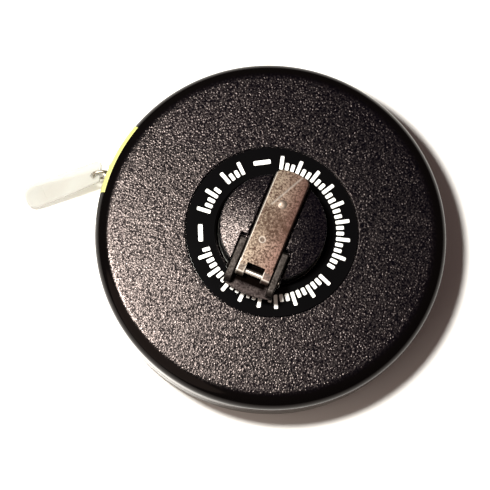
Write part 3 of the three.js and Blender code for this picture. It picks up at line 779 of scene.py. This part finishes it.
def hub_cap():
    """The domed hub with the crank's channel, the bracket's seat and the knob's well."""
    rise = HUB_TOP - HUB_EDGE_Z
    base = HUB_RADIUS - HUB_FILLET
    dome = (base ** 2 + rise ** 2) / (2 * rise)
    reach = math.degrees(math.asin(base / dome))
    cap = turned("hub_cap_fine", [
        (0, hub_low.z), (HUB_RADIUS, hub_low.z),
        *arc(HUB_RADIUS - HUB_FILLET, HUB_EDGE_Z - HUB_FILLET, HUB_FILLET, 0, 75, 6),
        *arc(0, HUB_TOP - dome, dome, 90 - reach, 90, 10)[:-1], (0, HUB_TOP)], 144)
    past, above = HUB_RADIUS + 6.2, HUB_TOP + 4     # the cutters reach clear of the hub
    cut(cap,
        block("channel", -past, past, -CHANNEL_HALF, CHANNEL_HALF, CHANNEL_FLOOR, above),
        block("seat", -past, SEAT_END, -SEAT_HALF, SEAT_HALF, CHANNEL_FLOOR, above),
        prism("well", circle(WELL_RADIUS, KNOB_X, 0), WELL_FLOOR, above))
    rounded(cap, 0.3, 3, 40)
    for vertex in cap.data.vertices:
        reach = vertex.co.xy.length
        if reach > HUB_RADIUS * MM:
            vertex.co.xy *= HUB_RADIUS * MM / reach
    return placed(cap, CRANK_TURN)


# ---- the crank ----------------------------------------------------------------------

def bracket():
    """A base plate with a bowed outer end and two upright cheeks that hold the pin."""
    outer, thickness, bow = 9.1, 0.9, 2.7
    bottom = CHANNEL_FLOOR + 0.1
    near, far, top = PIN_X - 5.8, PIN_X + 11.3, PIN_Z + 1.9
    plan = [(far, -outer), (far, outer),
            *bezier((near, outer), (near - bow, 0), (near, -outer), 16), (near, -outer)]
    base = rounded(prism("bracket_fine", plan, bottom, bottom + thickness), 0.15, 2)
    side = [(near, bottom), (far, bottom), (far, bottom + 2.2),
            *bezier((far, bottom + 2.2), (far, top), (far - 1.6, top), 8)[1:],
            *bezier((near + 3, top), (near, top), (near, bottom + 2.6), 8)]
    for low in (-outer, outer - CHEEK_THICKNESS):
        cheek = side_prism("cheek", side, low, low + CHEEK_THICKNESS)
        joined(base, rounded(cheek, 0.5, 4, 50))
    hole = side_prism("hole", circle(PIN_RADIUS + 0.3, PIN_X, PIN_Z), -10, 10)
    return placed(cut(base, hole), CRANK_TURN)


def bracket_rivets():
    for index in (1, 2):
        low, high = box_mm(f"bracket_rivet_{index}")
        place, top = (low + high) / 2, high.z
        rivet = turned(f"bracket_rivet_{index}_fine", [
            (0, low.z), (0.7, low.z), (0.7, top - 0.8), (1.6, top - 0.8),
            *arc(0, top - 1.86, 1.86, 34, 90, 6)[:-1], (0, top)], SMALL)
        placed(rivet, shifted(place.x, place.y, 0))
        dress(rivet, "drum", "steel", ZINC, f"bracket_rivet_{index}")


def hinge_pin():
    end = 9.2
    head = [*arc(0.9, end + 0.1, 0.6, 40, 90, 4)]
    upper = [(PIN_RADIUS, end), (1.65, end), (1.7, end + 0.2), *head, (0, end + 0.7)]
    pin = turned("hinge_pin_fine", [(r, -z) for r, z in reversed(upper)] + upper, SMALL)
    placed(pin, shifted(PIN_X, 0, PIN_Z) @ Matrix.Rotation(math.pi / 2, 4, "X"))
    return placed(pin, CRANK_TURN)


ARM_DEPTH = 3.0                   # from the arm's top to the lower edge of its flanges
ARM_BEND = 0.6
ACROSS = 12                       # steps across the arm's top


def bend_pairs(half, top, depth, thickness, radius):
    """Outer and inner [y, z] points of a channel section open below, in matching pairs."""
    inner = max(radius - thickness, 0.1)
    gap, roof = half - thickness, top - thickness
    low, soft = top - depth, 0.18
    side = [((half - soft, low), (gap + soft, low)), ((half, low + soft), (gap, low + soft))]
    for turn in range(0, 91, 15):
        c, s = math.cos(math.radians(turn)), math.sin(math.radians(turn))
        side.append(((half - radius + radius * c, top - radius + radius * s),
                     (gap - inner + inner * c, roof - inner + inner * s)))
    flat = half - radius
    middle = [((flat * (1 - 2 * i / ACROSS), top),
               ((gap - inner) * (1 - 2 * i / ACROSS), roof)) for i in range(1, ACROSS)]
    mirror = [((-o[0], o[1]), (-n[0], n[1])) for o, n in reversed(side)]
    return side + middle + mirror


def crank_arm():
    """A channel section drawn through stations along X, with two curled knuckles."""
    start, stop, corner, bulge = PIN_X + WINDOW_REACH, ARM_END - 0.65, 1.9, 0.6
    stations = [(start, ARM_HALF, 0, 0)]
    stations += [(stop - corner - 6 + i, ARM_HALF, bulge * i / 6, 0) for i in range(7)]
    for i in range(1, 9):
        turn = math.radians(90 * i / 8)
        stations.append((stop - corner * (1 - math.sin(turn)),
                         ARM_HALF - 1.5 * (1 - math.cos(turn)), bulge, 0))
    stations += [(stop + 0.1, ARM_HALF - 1.6, bulge, 0.04),
                 (stop + 0.17, ARM_HALF - 1.75, bulge, 0.18)]
    bm = bmesh.new()
    rows = []
    for x, half, swell, drop in stations:
        pairs = bend_pairs(half, ARM_TOP - drop, ARM_DEPTH - drop, ARM_THICKNESS, ARM_BEND)
        rows.append([[bm.verts.new(((x + swell * (1 - (y / half) ** 2)) * MM, y * MM, z * MM))
                      for y, z in side] for side in zip(*pairs)])
    for low, high in zip(rows, rows[1:]):
        for side in (0, 1):
            for i in range(len(low[side]) - 1):
                bm.faces.new([low[side][i], low[side][i + 1],
                              high[side][i + 1], high[side][i]])
        for i in (0, -1):
            bm.faces.new([low[0][i], low[1][i], high[1][i], high[0][i]])
    for outer, inner in (rows[0], rows[-1]):
        for i in range(len(outer) - 1):
            bm.faces.new([outer[i], outer[i + 1], inner[i + 1], inner[i]])
    arm = as_object("crank_arm_fine", bm)
    outer, inner, shoulder = KNUCKLE_RADIUS, KNUCKLE_RADIUS - ARM_THICKNESS, 0.7
    lap, centre = start + 0.6, PIN_Z - 0.01
    curl = [(lap, centre + outer),
            *arc(PIN_X - shoulder, centre + shoulder, outer - shoulder, 90, 180, 6),
            *arc(PIN_X, centre, outer, 195, 360, 11)]
    back = arc(PIN_X, centre, inner, 360, 90, 18)
    hook = curl + back + [(lap, ARM_TOP - ARM_THICKNESS)]
    for low in (-ARM_HALF + 0.01, WINDOW_HALF):
        knuckle = side_prism("knuckle", hook, low, low + ARM_HALF - WINDOW_HALF - 0.01)
        joined(arm, rounded(knuckle, 0.22, 3, 50))
    cut(arm, prism("knob_hole", circle(1.2, KNOB_X, 0), ARM_TOP - 5, ARM_TOP + 5))
    punch = prism("punch", circle(0.72), ARM_TOP - 0.3, ARM_TOP + 1)
    cut(arm, placed(punch, shifted(PUNCH_X, PUNCH_Y, 0)))
    return placed(arm, CRANK_TURN)


def knob_rivet():
    """A collar inside the knob, a stem, and a low dome on top of the arm."""
    low, shoulder = knob_low.z + 0.5, ARM_TOP - ARM_THICKNESS - 0.1
    rim, rise = 1.6, 0.42
    dome = (rim ** 2 + rise ** 2) / (2 * rise)
    reach = math.degrees(math.asin(rim / dome))
    rivet = turned("knob_rivet_fine", [
        (0, low), (2.4, low), (2.6, low + 0.2), (2.6, low + 0.9), (1.5, low + 0.9),
        (1.5, shoulder), (1.1, shoulder), (1.1, ARM_TOP + 0.02), (rim, ARM_TOP + 0.02),
        *arc(0, ARM_TOP + 0.2 + rise - dome, dome, 90 - reach, 90, 10)[:-1],
        (0, ARM_TOP + 0.2 + rise)], SMALL)
    return placed(placed(rivet, shifted(KNOB_X, 0, 0)), CRANK_TURN)


def crank_knob():
    low, top = knob_low.z, knob_high.z
    knob = turned("crank_knob_fine", [
        (3, low), (3.9, low), *arc(4.0, low + 0.8, 0.8, -75, 0, 5), (4.8, low + 2.6),
        (4.7, low + 3.4), (4.35, low + 4.8), (4.0, low + 6), (3.9, top - 0.3),
        (3.6, top), (1.85, top), (1.85, low + 1.75), (3, low + 1.75)], 72)
    return placed(placed(knob, shifted(KNOB_X, 0, 0)), CRANK_TURN)


# ---- the tape's end -----------------------------------------------------------------

TAPE_TURN = shifted(roll_place.x, roll_place.y, 0) @ Matrix.Rotation(TAPE_ANGLE, 4, "Z")


def ferrule():
    middle = roll_place.z
    leaves = rounded(block("tape_ferrule_fine", -5.6, -0.9, -0.75, 0.75,
                           middle - 6.7, middle + 6.7), 0.3, 3)
    eye = rounded(prism("eye", circle(1.3), middle - 2.8, middle + 2.8), 0.2, 2)
    joined(leaves, eye)
    cut(leaves, block("mortise", -8, -1.4, -0.3, 0.3, middle - 8, middle + 8),
        prism("eye_bore", circle(0.8), middle - 8, middle + 8))
    for height in (-4.4, 4.4):
        dent = prism("dent", circle(0.8), -2, -0.6)
        placed(dent, shifted(-3.3, 0, middle + height) @ Matrix.Rotation(math.pi / 2, 4, "X"))
        cut(leaves, dent)
    return placed(leaves, TAPE_TURN)


def wire_link():
    """A closed wire loop in the upright plane, swept along a rounded rectangle."""
    half, bend, steps = LINK_HEIGHT / 2, 1.3, 10
    path = []
    far = LINK_WIDTH - bend
    for x, z, start in ((far, -half + bend, -90), (far, half - bend, 0),
                        (bend, half - bend, 90), (bend, -half + bend, 180)):
        path += [(x + bend * math.cos(math.radians(start + 90 * i / steps)),
                  z + bend * math.sin(math.radians(start + 90 * i / steps)))
                 for i in range(steps + 1)]
    bm = bmesh.new()
    rings = []
    for i, (x, z) in enumerate(path):
        before, after = Vector(path[i - 1]), Vector(path[(i + 1) % len(path)])
        along = (after - before).normalized()
        out = Vector((along.y, -along.x))
        ring = []
        for k in range(16):
            a = 2 * math.pi * k / 16
            reach = WIRE_RADIUS * math.cos(a)
            ring.append(bm.verts.new(((x + out.x * reach) * MM, WIRE_RADIUS * math.sin(a) * MM,
                                      (z + out.y * reach) * MM)))
        rings.append(ring)
    for low, high in zip(rings, rings[1:] + rings[:1]):
        for k in range(16):
            bm.faces.new([low[k], low[(k + 1) % 16], high[(k + 1) % 16], high[k]])
    link = as_object("wire_link_fine", bm)
    return placed(link, shifted(*roll_place) @ Matrix.Rotation(LINK_ANGLE, 4, "Z"))


def pull_tab():
    """A rounded tab with a hole at its root and a shallow panel on the upper face."""
    end = TAB_LENGTH
    plan = [(-1.4, -2.9), (8, -3.3), (end - 4.6, -3.7),
            *bezier((end - 4.6, -3.7), (end, -3.7), (end, 0.9), 10)[1:],
            *bezier((end, 0.9), (end, 5.5), (end - 4.6, 5.5), 10),
            (end - 4.6, 5.5), (8, 5.1), *bezier((-2, 4.7), (-4.4, 4.6), (-4, 2.6), 8),
            (-4, 2.6)]
    half = TAB_THICKNESS / 2
    tab = prism("pull_tab_fine", plan, -half, half)
    rounded(tab, 0.55, 4, 50)
    cut(tab, prism("tab_hole", circle(1.15), -2, 2))
    length, width, depth = end - 10, 5.6, 0.14      # of the sunk panel
    shape = [(x + length / 2 + 2.2, y + 0.85) for x, y in pill(length, width)]
    cut(tab, rounded(prism("panel", shape, half - depth, 2), 0.1, 2))
    turn = (shifted(*hook_place) @ Matrix.Rotation(TAB_ANGLE, 4, "Z")
            @ Matrix.Rotation(TAB_DROOP, 4, "Y") @ Matrix.Diagonal((1, -1, 1, 1)))
    placed(tab, turn)
    tab.data.flip_normals()
    return tab


# ---- assembly -----------------------------------------------------------------------

dress(front_cover(), "case", "case_black", CASE_BLACK, "front_cover")
dress(back_cover(), "case", "case_black", CASE_BLACK, "back_cover")
case_screws()
dress(label_ring(), "case", "label_black", LABEL_BLACK, "label_ring")
dress(printed_marks(), "case", "label_black", INK_WHITE)
dress(mouth_insert(), "case", "insert_yellow", INSERT_YELLOW, "mouth_insert")
dress(hub_cap(), "drum", "hub_black", HUB_BLACK, "hub_cap")
dress(bracket(), "drum", "bracket_steel", BRACKET_STEEL, "crank_bracket")
bracket_rivets()
dress(hinge_pin(), "drum", "steel", PIN_STEEL, "hinge_pin")
dress(crank_arm(), "crank", "crank_nickel", CRANK_NICKEL, "crank_arm")
dress(knob_rivet(), "crank", "crank_nickel", RIVET_NICKEL, "knob_rivet")
dress(crank_knob(), "knob", "knob_black", KNOB_BLACK, "crank_knob")
dress(ferrule(), "tape_end", "steel", ZINC, "tape_end_ferrule")
dress(wire_link(), "link", "steel", LINK_WIRE, "wire_link")
dress(pull_tab(), "tab", "tab_cream", TAB_CREAM, "pull_tab")

CARRIED_OVER = {
    "thrust_washer": NYLON, "drum_core": DRUM_GREY, "drum_front_flange": DRUM_GREY,
    "tape_coil": TAPE_YELLOW, "tape_anchor_pin": ZINC, "tape_tail": TAPE_YELLOW,
    **{f"drum_screw_{index}": ZINC for index in (1, 2, 3)},
}
for node, material in CARRIED_OVER.items():
    for place in frame["nodes"][node].material_slots:
        place.material = material


# ---- stage: floor, light and camera -------------------------------------------------

def stage_floor():
    half = 3.0                    # metres
    bm = bmesh.new()
    corners = [(-half, -half), (half, -half), (half, half), (-half, half)]
    bm.faces.new([bm.verts.new((x, y, -0.0002)) for x, y in corners])
    floor = as_object("floor", bm)
    g = Graph("floor_white", (0.88, 0.88, 0.88), 0.7)
    g.paint("Base Color", g.mix(g.noise(3), (0.87, 0.87, 0.87), (0.9, 0.9, 0.9)))
    g.paint("Specular IOR Level", 0.1)
    floor.data.materials.append(g.material)


def aimed(position, target):
    """A place that looks from a position towards a target, in millimetres."""
    position, target = Vector(position) * MM, Vector(target) * MM
    turn = (target - position).to_track_quat("-Z", "Y").to_matrix().to_4x4()
    return Matrix.Translation(position) @ turn


def area_light(name, position, target, size, power, colour=(1, 1, 1)):
    data = bpy.data.lights.new(name, "AREA")
    data.shape = "DISK"
    data.size = size
    data.energy = power
    data.color = colour
    light = bpy.data.objects.new(name, data)
    light.matrix_world = aimed(position, target)
    bpy.context.scene.collection.objects.link(light)


def world_light(colour):
    world = bpy.data.worlds.new("studio")
    world.use_nodes = True
    background = world.node_tree.nodes["Background"]
    background.inputs["Color"].default_value = (*colour, 1)
    bpy.context.scene.world = world


def camera():
    """Nearly overhead, leaning 12 degrees towards -Y and a little towards -X."""
    tilt, turn, distance = math.radians(11.97), math.radians(258.3), 550.8
    target = Vector((-9.44, -4.35, 20))
    roll = math.radians(0.16)
    back = Vector((math.sin(tilt) * math.cos(turn), math.sin(tilt) * math.sin(turn),
                   math.cos(tilt)))
    data = bpy.data.cameras.new("camera")
    data.lens = 113.52
    data.sensor_width = 36
    obj = bpy.data.objects.new("camera", data)
    right = (-back).cross(Vector((0, 1, 0))).normalized()
    up = back.cross(right)
    axes = Matrix((right, up, back)).transposed().to_4x4() @ Matrix.Rotation(roll, 4, "Z")
    obj.matrix_world = Matrix.Translation((target + back * distance) * MM) @ axes
    bpy.context.scene.collection.objects.link(obj)
    bpy.context.scene.camera = obj


stage_floor()
# Positions and targets in millimetres, disc sizes in metres.
area_light("key", (-104, 11, 312), (0, 0, 15), 0.06, 2.72, (1, 0.97, 0.9))
area_light("fill", (-150, -120, 130), (0, 0, 10), 0.25, 0.15, (1, 0.84, 0.71))
world_light((0.105, 0.074, 0.066))
camera()
bpy.context.scene.view_settings.view_transform = "Standard"
